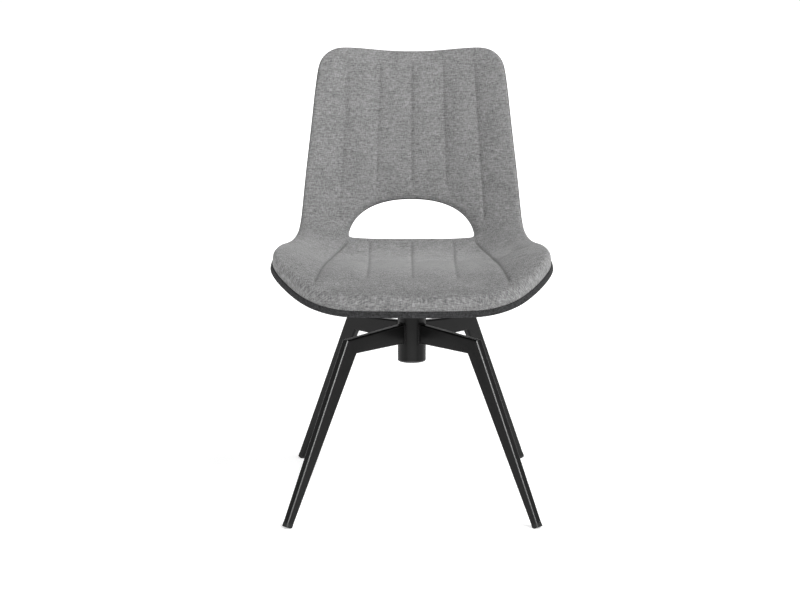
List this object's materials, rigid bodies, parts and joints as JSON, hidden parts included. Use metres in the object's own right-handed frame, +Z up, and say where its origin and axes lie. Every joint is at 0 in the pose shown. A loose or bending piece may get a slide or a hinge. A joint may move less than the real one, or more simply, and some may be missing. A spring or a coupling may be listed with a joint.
{
  "type": "swivel dining chair",
  "caption": "Upholstered bucket dining chair with sewn channels and an arched back opening, turning on a base of splayed, tapered steel legs.",
  "frame": {"origin": "on the floor, under the middle of the space that the chair takes up; the swivel axis stands 35 mm in front of it", "axes": "+Z up, -Y towards the front of the chair, +X to its right as seen from the front"},
  "size_m": [0.5512, 0.5497, 0.8599],
  "materials": {
    "front_fabric": "grey melange weave, matt",
    "cover_fabric": "dark charcoal weave, matt",
    "plywood": "raw moulded plywood",
    "black_steel": "satin black powder coat",
    "plain_steel": "zinc plated",
    "foot_plastic": "matt moulded plastic",
    "black_plastic": "matt moulded plastic",
    "nylon": "natural nylon"
  },
  "bodies": {
    "base": {"arm_front_left": "black_steel", "leg_front_left": "black_steel", "glide_front_left": "foot_plastic", "arm_front_right": "black_steel", "leg_front_right": "black_steel", "glide_front_right": "foot_plastic", "arm_rear_right": "black_steel", "leg_rear_right": "black_steel", "glide_rear_right": "foot_plastic", "arm_rear_left": "black_steel", "leg_rear_left": "black_steel", "glide_rear_left": "foot_plastic", "hub_tube": "black_steel", "hub_end_cap": "black_plastic", "upper_bush": "nylon", "lower_bush": "nylon", "thrust_washer": "nylon"},
    "seat": {"swivel_plate": "black_steel", "spindle": "plain_steel", "retaining_washer": "plain_steel", "circlip": "plain_steel", "plate_screws": "plain_steel", "plate_washers": "plain_steel", "t_nuts": "plain_steel", "seat_shell": "plywood", "back_cover": "cover_fabric", "front_upholstery": "front_fabric"}
  },
  "joints": [
    {"name": "seat_swivel", "type": "hinge", "parent": "base", "child": "seat", "pos_m": [0, -0.035, 0.376], "axis": [0, 0, 1], "continuous": true}
  ]
}
